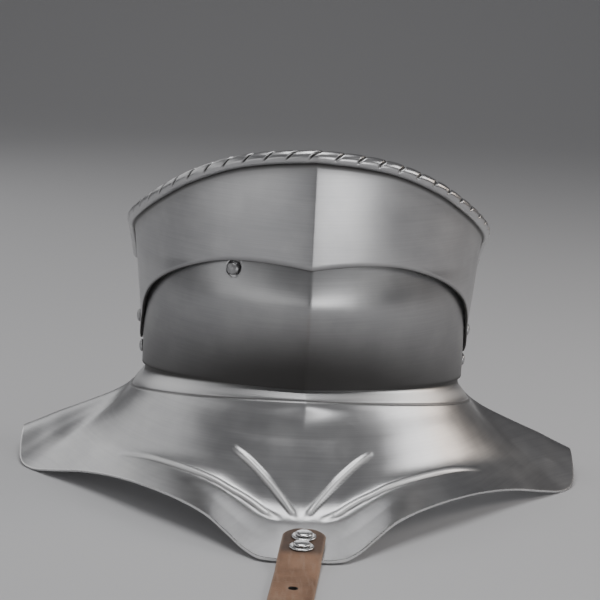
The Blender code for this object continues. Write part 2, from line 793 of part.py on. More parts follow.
def make_strap(pivot):
    """Leather strap, riveted on the point and laid on the ground in front of it."""
    whole = STRAP_ON_PLATE + STRAP_BEYOND_PLATE
    loops = []
    for step in range(STRAP_STEPS + 1):
        share = (1 - math.cos(step / STRAP_STEPS * math.pi)) / 2
        even = step / STRAP_STEPS
        along = -STRAP_ON_PLATE + whole * (share + even) / 2
        half = strap_half_width(along)
        loops.append([
            strap_point(-half, along, 0),
            strap_point(-half, along, STRAP_WALL),
            strap_point(0, along, STRAP_WALL),
            strap_point(half, along, STRAP_WALL),
            strap_point(half, along, 0),
            strap_point(0, along, 0),
        ])
    piece = add_piece("strap", loft(loops), LEATHER, pivot)
    for label, distance in STRAP_RIVETS.items():
        hole = pin(RIVET_SHANK_RADIUS + FIT_GAP, 3 * STRAP_WALL, strap_frame(distance))
        combine(piece, hole, f"strap_{label}_rivet_hole", pivot, "DIFFERENCE")
    for k in range(STRAP_HOLES):
        distance = STRAP_FIRST_HOLE + STRAP_HOLE_SPACING * k
        hole = pin(STRAP_HOLE_RADIUS, 3 * STRAP_WALL, strap_frame(-distance))
        combine(piece, hole, f"strap_hole_{k}", pivot, "DIFFERENCE")


def make_strap_fastenings(pivot):
    """Round washers on the strap, and the rivets through washer, strap and plate."""
    washer = [
        (RIVET_SHANK_RADIUS + FIT_GAP, 0),
        (WASHER_RADIUS, 0),
        (WASHER_RADIUS, WASHER_WALL * WASHER_EDGE),
        (WASHER_RADIUS * WASHER_TOP, WASHER_WALL),
        (RIVET_SHANK_RADIUS + FIT_GAP, WASHER_WALL),
    ]
    for label, distance in STRAP_RIVETS.items():
        outer_face, inner_face = strap_rivet_faces(distance)
        rivet = rivet_profile(outer_face, inner_face, STRAP_RIVET_RADIUS, STRAP_RIVET_HEIGHT)
        body = turned(washer + washer[:1], strap_frame(distance, washer_seat(distance)))
        add_piece(f"{label}_washer", body, STEEL, pivot)
        add_piece(f"{label}_strap_rivet", turned(rivet, strap_frame(distance)), STEEL, pivot)


def stand_on_ground(root):
    """Lean the whole assembly onto the ground, centred over the origin."""
    bpy.context.view_layer.update()
    root.matrix_world = ground_frame()
    bpy.context.view_layer.update()
    corners = []
    for piece in bpy.context.scene.objects:
        if piece.type == "MESH" and not piece.hide_render:
            corners += [piece.matrix_world @ vertex.co for vertex in piece.data.vertices]
    low = Vector([min(corner[axis] for corner in corners) for axis in range(3)])
    high = Vector([max(corner[axis] for corner in corners) for axis in range(3)])
    middle = (low + high) / 2
    root.matrix_world = Matrix.Translation((-middle.x, -middle.y, -low.z)) @ root.matrix_world


for leftover in list(bpy.data.objects):
    bpy.data.objects.remove(leftover)

stand = add_pivot("stand", Vector(), None)
collar_pivot = add_pivot("collar_pivot", Vector((0, PIVOT_SETBACK, COLLAR_PIVOT_HEIGHT)), stand)
lame_pivot = add_pivot("lame_pivot", Vector((0, PIVOT_SETBACK, LAME_PIVOT_HEIGHT)), collar_pivot)
leaf_root = wall_point(LEAF_ROOT_STATION, leaf_height(LEAF_ROOT_STATION), chin_form, -PLATE_WALL - FIT_GAP)
catch_pivot = add_pivot("catch_pivot", leaf_root, collar_pivot)

make_gorget_plate(stand)
make_chin_plate(collar_pivot)
make_upper_lame(lame_pivot)
make_plate_rivets(collar_pivot, collar_pivot)
make_catch_spring(catch_pivot)
make_strap(stand)
make_strap_fastenings(stand)
stand_on_ground(stand[0])
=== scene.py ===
import json
import math

import bmesh
import bpy
from mathutils import Matrix, Vector, kdtree

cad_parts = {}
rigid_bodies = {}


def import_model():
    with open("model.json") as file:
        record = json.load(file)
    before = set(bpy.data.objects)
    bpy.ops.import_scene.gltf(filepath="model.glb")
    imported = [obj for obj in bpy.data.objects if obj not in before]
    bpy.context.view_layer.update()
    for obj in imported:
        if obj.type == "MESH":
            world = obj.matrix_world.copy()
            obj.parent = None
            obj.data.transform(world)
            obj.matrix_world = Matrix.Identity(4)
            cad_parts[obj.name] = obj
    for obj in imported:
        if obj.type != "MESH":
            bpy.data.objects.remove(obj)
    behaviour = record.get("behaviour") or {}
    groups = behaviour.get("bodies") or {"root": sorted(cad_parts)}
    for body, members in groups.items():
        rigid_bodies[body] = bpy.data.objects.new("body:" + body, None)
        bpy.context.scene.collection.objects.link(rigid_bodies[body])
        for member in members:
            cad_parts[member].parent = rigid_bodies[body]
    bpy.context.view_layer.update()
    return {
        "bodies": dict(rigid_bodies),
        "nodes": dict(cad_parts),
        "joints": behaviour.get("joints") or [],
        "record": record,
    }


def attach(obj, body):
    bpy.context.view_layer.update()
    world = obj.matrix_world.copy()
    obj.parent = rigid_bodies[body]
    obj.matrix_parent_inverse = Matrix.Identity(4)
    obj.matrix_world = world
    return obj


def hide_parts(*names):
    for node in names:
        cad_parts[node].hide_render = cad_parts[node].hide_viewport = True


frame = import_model()

# The studio: a pale floor that curves up behind the bevor, with soft boxes above, in front and at the
# sides, which the polished plates mirror as broad pale bands. The boxes at the right are the brighter.
MM = 0.001
SWEEP_START = 1.6
SWEEP_RADIUS = 1.2


def studio_floor():
    """Pale floor, swept up into a backdrop far behind the piece."""
    sweep = bmesh.new()
    bmesh.ops.create_grid(sweep, x_segments=2, y_segments=60, size=4)
    for vertex in sweep.verts:
        past = vertex.co.y - SWEEP_START
        if past > 0:
            turn = min(past / SWEEP_RADIUS, math.pi / 2)
            vertex.co.y = SWEEP_START + SWEEP_RADIUS * math.sin(turn)
            vertex.co.z = SWEEP_RADIUS * (1 - math.cos(turn)) + max(past - SWEEP_RADIUS * math.pi / 2, 0)
    mesh = bpy.data.meshes.new("studio_floor")
    sweep.to_mesh(mesh)
    sweep.free()
    mesh.shade_smooth()
    floor = bpy.data.objects.new("studio_floor", mesh)
    bpy.context.collection.objects.link(floor)
    paint = bpy.data.materials.new("floor_paint")
    paint.use_nodes = True
    shader = paint.node_tree.nodes["Principled BSDF"]
    shader.inputs["Base Color"].default_value = (0.56, 0.56, 0.57, 1)
    shader.inputs["Roughness"].default_value = 0.85
    shader.inputs["Specular IOR Level"].default_value = 0.2
    mesh.materials.append(paint)


def soft_box(name, place, target, width, height, power, colour=(1, 1, 1)):
    """Soft box at a place, turned to a target."""
    lamp = bpy.data.lights.new(name, "AREA")
    lamp.shape = "RECTANGLE"
    lamp.size, lamp.size_y = width, height
    lamp.energy = power
    lamp.color = colour
    box = bpy.data.objects.new(name, lamp)
    box.location = place
    box.rotation_euler = (Vector(target) - Vector(place)).to_track_quat("-Z", "Y").to_euler()
    bpy.context.collection.objects.link(box)


studio_floor()
heart = (0, 0.06, 0.10)
soft_box("top_box", (-0.05, -0.06, 1.30), heart, 0.8, 0.8, 9)
soft_box("right_box", (1.03, -0.06, 0.66), heart, 0.50, 0.38, 2.6)
soft_box("right_low_box", (0.44, -0.65, 0.17), heart, 0.40, 0.26, 1.35)
soft_box("left_box", (-1.06, 0.32, 0.58), heart, 1.6, 0.6, 2.1)
soft_box("left_low_box", (-0.62, -0.50, 0.17), heart, 0.80, 0.24, 0.58)
soft_box("front_box", (-0.10, -0.95, 0.78), heart, 1.0, 0.4, 0.15)
soft_box("rear_left_box", (-0.56, 1.02, 0.58), heart, 0.5, 0.5, 0.7)
soft_box("warm_box", (1.06, 0.31, 0.47), heart, 0.26, 0.30, 1.3, (1.0, 0.84, 0.70))
world = bpy.data.worlds.new("studio_air")
world.use_nodes = True
world.node_tree.nodes["Background"].inputs["Color"].default_value = (0.30, 0.30, 0.31, 1)
world.node_tree.nodes["Background"].inputs["Strength"].default_value = 0.40
bpy.context.scene.world = world

# The plates are drawn as the wearer's neck stands upright, then lean back until the gorget plate's
# point and wings lie on the floor.
LEAN = math.radians(5.844581)
CAMERA_DISTANCE = 1.2
CAMERA_FOCAL_PIXELS = 2024.0
FRAME_PIXELS = 600
STAND = Matrix.Translation((0, 126.7702 * MM, 60.0367 * MM)) @ Matrix.Rotation(-LEAN, 4, "X")


def photo_camera():
    """Camera in front of the piece and a little above it, aimed at the neck, 1.2 m away."""
    pitch, yaw, roll = math.radians(6.494), math.radians(1.435), math.radians(2.733)
    aim_u, aim_v = 306.475, 265.751
    ahead = Vector((math.sin(yaw) * math.cos(pitch), math.cos(yaw) * math.cos(pitch), -math.sin(pitch)))
    right = Vector((math.cos(yaw), -math.sin(yaw), 0))
    up = right.cross(ahead)
    across = right * math.cos(roll) + up * math.sin(roll)
    above = up * math.cos(roll) - right * math.sin(roll)
    metres_a_pixel = CAMERA_DISTANCE / CAMERA_FOCAL_PIXELS
    place = Vector((0, 0, 60 * MM)) - ahead * CAMERA_DISTANCE
    place -= across * (aim_u - FRAME_PIXELS / 2) * metres_a_pixel
    place += above * (aim_v - FRAME_PIXELS / 2) * metres_a_pixel
    turn = Matrix((across, above, -ahead)).transposed().to_4x4()
    lens = bpy.data.cameras.new("photo_camera")
    lens.sensor_width = 36
    lens.lens = CAMERA_FOCAL_PIXELS / FRAME_PIXELS * lens.sensor_width
    camera = bpy.data.objects.new("photo_camera", lens)
    camera.matrix_world = STAND @ Matrix.Translation(place) @ turn
    bpy.context.collection.objects.link(camera)
    bpy.context.scene.camera = camera


photo_camera()

# Gorget plate: one sheet of steel over chest and shoulders. Its collar stands inside the chin plate,
# a crease runs below it, and the spread is raised over a stake, with wings, a blunt point and four
# flutes hammered up from inside, then filed at the edges and satin polished.
PLATE_WALL = 1.5 * MM
FIT_GAP = 0.4 * MM
CUP_HALF_WIDTH = 94.8 * MM
CUP_SIDE_RUN = 26 * MM
KEEL = 11 * MM
ARC_SHARE = 0.78
SQUARENESS = 2.15
REACH_AT_FOOT = 94 * MM
REACH_AT_CHIN = 113 * MM
REACH_AT_TOP = 105 * MM
CHIN_HEIGHT = 48 * MM
CHIN_PLATE_HEIGHT = 84 * MM
CHIN_BREAK = 3.5 * MM
COLLAR_HEIGHT = 13 * MM
COLLAR_FRONT_FOOT_SHARE = 0.08
COLLAR_SIDE_FOOT_SHARE = 0.34
CREASE_FRONT_FLARE = 2.2 * MM
CREASE_SIDE_FLARE = 6 * MM
CREASE_FRONT_DROP = 5.5 * MM
CREASE_SIDE_DROP = 15 * MM
CREASE_SWEEP = 1.2
POINT_START_REACH = 100 * MM
POINT_START_DROP = 3.5 * MM
POINT_REACH = 73 * MM
POINT_DROP = 72 * MM
WING_HALF_SPAN = 165 * MM
WING_STATION = 0.84
KEEL_FADE = 0.22
SPREAD_KEEL_SHARE = 0.05
FLUTE_HALF_WIDTH = 2.1 * MM
FLUTE_HEIGHT = 1.3 * MM
FLUTE_FOOT_WIDTH_SHARE = 0.38
CREASE_DEPTH = 0.35 * MM
CREASE_HALF_WIDTH = 1.1 * MM
CREASE_SHADE_WIDTH = 0.8 * MM
COLLAR_BEND_SOFTNESS = 0.12
CREASE_BEND_SOFTNESS = 0.035

# Columns: station, distance across, forward and down as shares of span, reach and drop
GORGET_EDGE = (
    (0.000, 0.000, 1.000, 1.000),
    (0.070, 0.125, 0.985, 0.994),
    (0.110, 0.178, 0.890, 0.958),
    (0.160, 0.232, 0.755, 0.885),
    (0.220, 0.303, 0.575, 0.795),
    (0.300, 0.400, 0.342, 0.735),
    (0.400, 0.521, 0.055, 0.702),
    (0.500, 0.636, -0.233, 0.702),
    (0.600, 0.752, -0.520, 0.733),
    (0.700, 0.873, -0.781, 0.790),
    (0.760, 0.940, -0.930, 0.815),
    (0.800, 0.980, -1.050, 0.795),
    (0.840, 0.996, -1.190, 0.725),
    (0.900, 1.000, -1.480, 0.575),
    (0.950, 0.994, -1.700, 0.615),
    (1.000, 0.970, -1.910, 0.710),
)

# Columns: share of the way from the crease to the edge, share of the reach, share of the drop
FRONT_PROFILE = (
    (0.00, 0.00, 0.000),
    (0.08, 0.055, 0.098),
    (0.20, 0.160, 0.270),
    (0.38, 0.272, 0.562),
    (0.53, 0.36, 0.790),
    (0.63, 0.47, 0.900),
    (0.80, 0.72, 0.955),
    (1.00, 1.00, 1.000),
)
WING_PROFILE = (
    (0.00, 0.00, 0.000),
    (0.08, 0.09, 0.130),
    (0.20, 0.20, 0.260),
    (0.38, 0.38, 0.430),
    (0.55, 0.55, 0.580),
    (0.70, 0.70, 0.710),
    (0.84, 0.84, 0.850),
    (1.00, 1.00, 1.000),
)

# Columns: station, share of the way from the crease to the edge, upper end first
INNER_FLUTE = (
    (0.180, 0.310),
    (0.125, 0.352),
    (0.078, 0.410),
    (0.040, 0.490),
    (0.012, 0.570),
)
OUTER_FLUTE = (
    (0.535, 0.690),
    (0.440, 0.625),
    (0.360, 0.605),
    (0.290, 0.592),
    (0.200, 0.575),
    (0.120, 0.555),
    (0.045, 0.590),
)


def read_table(table, share):
    """Values at a share, on a smooth curve through a table's rows."""
    share = min(max(share, table[0][0]), table[-1][0])
    last = len(table) - 1
    row = 0
    while row < last - 1 and table[row + 1][0] <= share:
        row += 1
    here, there = table[row], table[row + 1]
    before, after = table[max(row - 1, 0)], table[min(row + 2, last)]
    step = there[0] - here[0]
    t = (share - here[0]) / step
    values = []
    for column in range(1, len(here)):
        slope_here = (there[column] - before[column]) / (there[0] - before[0])
        slope_there = (after[column] - here[column]) / (after[0] - here[0])
        values.append(
            (2 * t**3 - 3 * t**2 + 1) * here[column]
            + (t**3 - 2 * t**2 + t) * step * slope_here
            + (3 * t**2 - 2 * t**3) * there[column]
            + (t**3 - t**2) * step * slope_there
        )
    return values


def plan_point(station, half_width, reach):
    """Point of a plate's plan: a keeled half oval in front and straight sides behind it."""
    side = 1 if station >= 0 else -1
    along = abs(station)
    if along <= ARC_SHARE:
        turn = along / ARC_SHARE * math.pi / 2
        across = half_width * math.sin(turn) ** (2 / SQUARENESS)
        oval = (reach - KEEL) * max(math.cos(turn), 0) ** (2 / SQUARENESS)
        forward = oval + KEEL * (1 - math.sin(turn)) ** 2
    else:
        across = half_width
        forward = -CUP_SIDE_RUN * (along - ARC_SHARE) / (1 - ARC_SHARE)
    return Vector((side * across, -forward, 0))


def wall_point(station, height, form, offset=0):
    """Point of a standing wall, pushed outwards by an offset. The form gives half width and reach."""
    nudge = 0.002
    half_width, reach = form(station, height)
    before = plan_point(max(station - nudge, -1), half_width, reach)
    after = plan_point(min(station + nudge, 1), half_width, reach)
    along = (after - before).normalized()
    outwards = Vector((along.y, -along.x, 0))
    point = plan_point(station, half_width, reach) + outwards * offset
    return Vector((point.x, point.y, height))


def chin_reach(station, height):
    """Reach of the chin plate's keel, with a break at the chin that softens towards the sides."""
    below = REACH_AT_FOOT + (REACH_AT_CHIN - REACH_AT_FOOT) * height / CHIN_HEIGHT
    above_chin = (height - CHIN_HEIGHT) / (CHIN_PLATE_HEIGHT - CHIN_HEIGHT)
    above = REACH_AT_CHIN + (REACH_AT_TOP - REACH_AT_CHIN) * above_chin
    softness = CHIN_BREAK * (1 + 3 * abs(station) / ARC_SHARE)
    return (below + above - math.hypot(below - above, softness)) / 2


def chin_form(station, height):
    """Half width and reach of the chin plate's outer face."""
    return CUP_HALF_WIDTH, chin_reach(station, height)


def crease_drop(station):
    """Drop of the crease below the chin plate's lower edge."""
    share = min(abs(station) / ARC_SHARE, 1)
    return CREASE_FRONT_DROP + (CREASE_SIDE_DROP - CREASE_FRONT_DROP) * share**CREASE_SWEEP


def crease_point(station):
    """Point on the crease between the gorget plate's collar and its spread."""
    share = min(abs(station) / ARC_SHARE, 1)
    flare = CREASE_FRONT_FLARE + (CREASE_SIDE_FLARE - CREASE_FRONT_FLARE) * share**2
    return wall_point(station, 0, chin_form, flare) - Vector((0, 0, crease_drop(station)))


def gorget_point(station, way):
    """Point on the gorget plate's outer face, from the crease at 0 to the outer edge at 1."""
    side = 1 if station >= 0 else -1
    across, forward, drop = read_table(GORGET_EDGE, abs(station))
    start = crease_point(station)
    keel = KEEL * (1 - math.sin(min(abs(station) / ARC_SHARE, 1) * math.pi / 2)) ** 2
    fade = min(way / KEEL_FADE, 1)
    start.y += (keel - KEEL * SPREAD_KEEL_SHARE) * fade * fade * (3 - 2 * fade)
    end_x = side * across * WING_HALF_SPAN
    end_y = -POINT_START_REACH - forward * POINT_REACH
    end_z = -POINT_START_DROP - drop * POINT_DROP
    to_wing = min(abs(station) / WING_STATION, 1)
    front_out, front_down = read_table(FRONT_PROFILE, way)
    wing_out, wing_down = read_table(WING_PROFILE, way)
    out = front_out + (wing_out - front_out) * to_wing
    down = front_down + (wing_down - front_down) * to_wing
    return Vector((
        start.x + (end_x - start.x) * out,
        start.y + (end_y - start.y) * out,
        start.z + (end_z - start.z) * down,
    ))


def gorget_normal(station, way):
    """Direction out of the gorget plate's outer face."""
    nudge = 0.004
    along = gorget_point(min(station + nudge, 1), way) - gorget_point(max(station - nudge, -1), way)
    outwards = gorget_point(station, min(way + nudge, 1)) - gorget_point(station, max(way - nudge, 0))
    return outwards.cross(along).normalized()


def collar_point(station, height):
    """Point on the collar's outer face, which stands upright inside the chin plate's foot."""
    return wall_point(station, 0, chin_form, -PLATE_WALL - FIT_GAP) + Vector((0, 0, height))


def gorget_path(station, run):
    """Point down the outer face: collar from -2 to -1, flare from -1 to 0, spread from 0 to 1."""
    to_side = min(abs(station) / ARC_SHARE, 1) ** 2
    foot_share = COLLAR_FRONT_FOOT_SHARE + (COLLAR_SIDE_FOOT_SHARE - COLLAR_FRONT_FOOT_SHARE) * to_side
    foot = -foot_share * crease_drop(station)
    if run <= -1:
        return collar_point(station, foot + (COLLAR_HEIGHT - foot) * (-1 - run))
    if run <= 0:
        return collar_point(station, foot).lerp(crease_point(station), run + 1)
    return gorget_point(station, run)


FILED_SHARE = 0.28
SHARP_BEND = math.radians(50)


def sheet_object(name, sheet, wall, body, nodes):
    """Plate from the mesh of its outer face: given its wall inwards, its edges broken with a file."""
    bmesh.ops.transform(sheet, matrix=STAND, verts=sheet.verts)
    bmesh.ops.recalc_face_normals(sheet, faces=sheet.faces)
    mesh = bpy.data.meshes.new(name)
    sheet.to_mesh(mesh)
    sheet.free()
    mesh.shade_smooth()
    plate = bpy.data.objects.new(name, mesh)
    bpy.context.collection.objects.link(plate)
    if wall:
        thick = plate.modifiers.new("wall", "SOLIDIFY")
        thick.thickness = wall
        thick.offset = -1
        thick.use_even_offset = True
        filed = plate.modifiers.new("filed_edge", "BEVEL")
        filed.width = FILED_SHARE * wall
        filed.segments = 2
        filed.limit_method = "ANGLE"
        filed.angle_limit = SHARP_BEND
    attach(plate, body)
    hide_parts(*nodes)
    return plate


FLUTE_STEPS = 500
FLUTE_START_RATE = 3.5
FLUTE_START_POWER = 0.7
FLUTE_END_RATE = 14
FLUTE_END_HEIGHT = 0.25


def flute_line(path, side):
    """Points along a flute with its height there, which fades in from its upper end and stops short."""
    table = [(k / (len(path) - 1), *row) for k, row in enumerate(path)]
    line = []
    for k in range(FLUTE_STEPS + 1):
        share = k / FLUTE_STEPS
        station, way = read_table(table, share)
        rise = min(share * FLUTE_START_RATE, 1) ** FLUTE_START_POWER
        swell = rise * min((1 - share) * FLUTE_END_RATE + FLUTE_END_HEIGHT, 1)
        line.append((gorget_point(side * station, way), swell, way))
    return line


def spread_rows(count):
    """Runs of the rows: few on the collar, close at both creases and where the flutes are."""
    runs = [-2 + k / 6 for k in range(6)]
    runs += [-1.04, -1.0, -0.94, -0.86, -0.76, -0.65, -0.52, -0.40, -0.28, -0.18, -0.11, -0.06, -0.03]
    runs += [(k / count) ** 1.25 for k in range(count + 1)]
    return runs


gorget_runs = spread_rows(104)
gorget_columns = 366
gorget_sheet = bmesh.new()
bmesh.ops.create_grid(gorget_sheet, x_segments=gorget_columns, y_segments=len(gorget_runs) - 1, size=1)
filed = gorget_sheet.verts.layers.float.new("filed_edge")
painted_shade = gorget_sheet.verts.layers.float.new("painted_shade")
painted_highlight = gorget_sheet.verts.layers.float.new("painted_highlight")
flutes = []
for side in (-1, 1):
    for path in (INNER_FLUTE, OUTER_FLUTE):
        flutes += flute_line(path, side)
near_flute = kdtree.KDTree(len(flutes))
for index, (place, swell, way) in enumerate(flutes):
    near_flute.insert(place, index)
near_flute.balance()
for vertex in gorget_sheet.verts:
    # The columns stand closer in front, where the flutes are
    from_keel = vertex.co.x
    station = max(min(0.6 * from_keel + 0.4 * from_keel**3, 1), -1)
    run = gorget_runs[round((vertex.co.y + 1) / 2 * (len(gorget_runs) - 1))]
    place = gorget_path(station, run)
    if run > -1.6:
        soften = COLLAR_BEND_SOFTNESS * max(1 - abs(run + 1) / 0.6, 0)
        soften += CREASE_BEND_SOFTNESS * max(1 - abs(run) / 0.07, 0)
        above, below = gorget_path(station, run - soften), gorget_path(station, min(run + soften, 1))
        place = (above + place * 2 + below) / 4
    from_crease = (place - crease_point(station)).length
    if from_crease < CREASE_HALF_WIDTH:
        groove = CREASE_DEPTH * (1 - (from_crease / CREASE_HALF_WIDTH) ** 2) ** 2
        place -= gorget_normal(station, 0.02) * groove
    # Painted shade: the colour darkens along the crease and over the collar and flare where the chin plate
    # hangs over them.
    shade_under_chin_plate = 1 if run < -1.05 else max(-run - 0.85, 0) * 5
    vertex[painted_shade] = 0.8 * math.exp(-(from_crease / CREASE_SHADE_WIDTH) ** 2) + shade_under_chin_plate
    vertex[filed] = max(1 - (1 - run) / 0.016, 0) + max((abs(station) - 0.993) / 0.007, 0)
    # Painted highlight: the colour lightens across the collar's flare.
    vertex[painted_highlight] = 0.6 * math.sin(-run * math.pi) if -1 < run < 0 else 0
    if run > 0.1:
        index, away = near_flute.find(place)[1:]
        if away < FLUTE_HALF_WIDTH * 1.5:
            swell, flute_way = flutes[index][1:]
            across = away / FLUTE_HALF_WIDTH
            inside = max(1 - across**2, 0)
            place += gorget_normal(station, run) * swell * FLUTE_HEIGHT * inside**1.6
            # Painted shade: a dark band along the lower side of each flute, and a faint one along its upper
            # side.
            foot = math.exp(-((across - 1) / FLUTE_FOOT_WIDTH_SHARE) ** 2) * swell
            vertex[painted_shade] = max(vertex[painted_shade], foot * (0.62 if run > flute_way else 0.06))
            # Painted highlight along each flute's crest.
            vertex[painted_highlight] = inside * swell
    vertex.co = place
gorget_piece = sheet_object(
    "gorget_steel", gorget_sheet, PLATE_WALL, "gorget", ["gorget_plate"],
)


class Wire:
    """A node's output in a finish. Sums can be written on it, and it adds any other node."""

    def __init__(self, socket):
        self.socket = socket

    def add(self, kind, inputs, output=0, **settings):
        """Node of a kind, with its settings, and a value or a wire for each named or numbered input."""
        node = self.socket.id_data.nodes.new(kind)
        for name, value in settings.items():
            setattr(node, name, value)
        for name, value in inputs.items():
            if isinstance(value, Wire):
                self.socket.id_data.links.new(value.socket, node.inputs[name])
            else:
                node.inputs[name].default_value = value
        return Wire(node.outputs[output])

    def sum(self, operation, first, second):
        """Sum of two wires or values, or another operation on them."""
        return self.add("ShaderNodeMath", {0: first, 1: second}, operation=operation)

    def __add__(self, other):
        return self.sum("ADD", self, other)

    def __radd__(self, other):
        return self.sum("ADD", other, self)

    def __sub__(self, other):
        return self.sum("SUBTRACT", self, other)

    def __rsub__(self, other):
        return self.sum("SUBTRACT", other, self)

    def __mul__(self, other):
        return self.sum("MULTIPLY", self, other)

    def layer(self, name):
        """Value of one of the mesh's own layers, which is 0 where a piece has none of that name."""
        return self.add("ShaderNodeAttribute", {}, output=2, attribute_name=name)

    def clipped(self, low, high):
        """0 below low, 1 above high, smooth between them."""
        return self.add(
            "ShaderNodeMapRange", {"Value": self, "From Min": low, "From Max": high},
            interpolation_type="SMOOTHSTEP",
        )

    def noise(self, scale, detail=4.0, stretch=(1, 1, 1), turn=(0, 0, 0)):
        """Even noise on these coordinates, stretched and turned."""
        laid = self.add("ShaderNodeMapping", {"Vector": self, "Scale": stretch, "Rotation": turn})
        return self.add("ShaderNodeTexNoise", {"Vector": laid, "Scale": scale, "Detail": detail})

    def blend(self, first, second):
        """Colour between two colours, by this wire's value."""
        return self.add("ShaderNodeMix", {0: self, 6: first, 7: second}, output=2, data_type="RGBA")


def finish_of(name, metallic, anisotropy):
    """New finish: its material, its shader's inputs and a wire with the place on the object."""
    material = bpy.data.materials.new(name)
    material.use_nodes = True
    tree = material.node_tree
    shader = tree.nodes["Principled BSDF"]
    shader.inputs["Metallic"].default_value = metallic
    shader.inputs["Anisotropic"].default_value = anisotropy
    return material, shader.inputs, Wire(tree.nodes.new("ShaderNodeTexCoord").outputs["Object"])


def feed(wire, socket):
    """Lead a wire to one of the shader's inputs."""
    wire.socket.id_data.links.new(wire.socket, socket)


def satin_steel(name, tone, shine, grain=1.0):
    """Steel polished to a satin: fine level grain, faint hammer waves, scratches and filed edges, with
    painted shade and painted highlights from the mesh's layers.
    """
    material, inputs, place = finish_of(name, 1.0, anisotropy=0.25)
    cloud = place.noise(9, 3)
    smudge = place.noise(46, 5)
    lines = place.noise(1, 3, stretch=(26, 26, 1500))
    fine_lines = place.noise(1, 2, stretch=(60, 60, 5200))
    waves = place.noise(30, 1)
    scratch_a = place.noise(1, 1, stretch=(1400, 45, 60), turn=(0.3, 0.5, 0.55)).clipped(0.70, 0.76)
    scratch_b = place.noise(1, 1, stretch=(40, 1300, 70), turn=(0.2, 0.9, -0.4)).clipped(0.71, 0.76)
    scratches = (scratch_a + scratch_b) * place.noise(14, 2).clipped(0.50, 0.66)
    edge = place.layer("filed_edge").clipped(0.1, 0.9)
    # Painted shade: one layer marks where the colour is darkened as if in shade.
    shade_mask = place.layer("painted_shade").clipped(0.0, 1.0)
    wear_and_highlight = place.layer("painted_highlight").clipped(0.0, 0.9)
    mottle = cloud.clipped(0.3, 0.7) * 0.45 + smudge.clipped(0.35, 0.7) * 0.35
    mottle += lines.clipped(0.3, 0.7) * 0.20
    dark = (tone * 0.80, tone * 0.80, tone * 0.82, 1)
    light = (tone * 1.16, tone * 1.16, tone * 1.16, 1)
    polished = mottle.blend(dark, light)
    brightest = min(tone * 1.62, 0.95)
    # Painted highlight: the colour lightens towards near-white where that layer is high.
    highlighted = (wear_and_highlight * 0.85).blend(polished, (brightest, brightest, brightest, 1))
    worn = (edge * 0.8).blend(highlighted, (tone * 1.5, tone * 1.5, tone * 1.49, 1))
    # Painted shade: the colour goes nearly black where that layer is high.
    shaded_colour = (shade_mask * 0.92).blend(worn, (tone * 0.13, tone * 0.125, tone * 0.12, 1))
    feed(shaded_colour, inputs["Base Color"])
    dull = smudge * 0.07 + lines * 0.05 * grain + scratches * 0.10 + shade_mask * 0.18 + wear_and_highlight * 0.16 - edge * 0.06
    feed(shine + dull, inputs["Roughness"])
    relief = waves * 0.9 + lines * 0.030 * grain + fine_lines * 0.018 * grain - scratches * 0.035
    bump = place.add("ShaderNodeBump", {"Strength": 1.0, "Distance": 0.00022, "Height": relief})
    feed(bump, inputs["Normal"])
    return material


gorget_piece.data.materials.append(satin_steel("gorget_satin", tone=0.56, shine=0.27))

# Chin plate: a cup raised from one sheet, with a keel down its front and a break at the chin, so that
# it slopes in again towards the neck. It hangs outside the collar on two rivets, and a round hole
# lets the catch's stud through.
CHIN_PLATE_REAR_HEIGHT = 46 * MM
STUD_RADIUS = 3.7 * MM
STUD_HEIGHT = 65.8 * MM
STUD_STATION = -0.215
STUD_HOLE_RADIUS = 4.7 * MM
DRILL_REACH = 6 * MM
CHIN_SHADE_HEIGHT = 48 * MM
CHIN_EDGE_SHADE = 0.5 * MM

# Columns: station, height of the hidden top edge above its rear end as a share of the front's
CHIN_TOP = (
    (0.00, 1.000),
    (0.20, 0.980),
    (0.40, 0.740),
    (0.60, 0.400),
    (0.80, 0.100),
    (1.00, 0.000),
)


def chin_top(station):
    """Height of the chin plate's top edge, which the lame hides."""
    fall = CHIN_PLATE_HEIGHT - CHIN_PLATE_REAR_HEIGHT
    return CHIN_PLATE_REAR_HEIGHT + fall * read_table(CHIN_TOP, abs(station))[0]


def pointing(place, outwards):
    """Frame at a place whose Z axis points outwards."""
    turn = Vector((0, 0, 1)).rotation_difference(outwards)
    return Matrix.Translation(place) @ turn.to_matrix().to_4x4()


def wall_frame(station, height):
    """Frame on the chin plate's outer face, with Z pointing outwards."""
    place = wall_point(station, height, chin_form)
    return pointing(place, (wall_point(station, height, chin_form, MM) - place).normalized())


def drill(sheet, frame, radius):
    """Round hole through a sheet's face, at a frame whose Z axis runs through it."""
    to_frame = frame.inverted()

    def from_axis(place):
        local = to_frame @ place
        return math.hypot(local.x, local.y) if abs(local.z) < DRILL_REACH else math.inf

    inside = [face for face in sheet.faces if from_axis(face.calc_center_median()) < radius]
    bmesh.ops.delete(sheet, geom=inside, context="FACES")
    for vertex in sheet.verts:
        local = to_frame @ vertex.co
        away = math.hypot(local.x, local.y)
        if vertex.is_boundary and abs(local.z) < DRILL_REACH and away < radius * 1.5:
            local.x *= radius / away
            local.y *= radius / away
            vertex.co = frame @ local


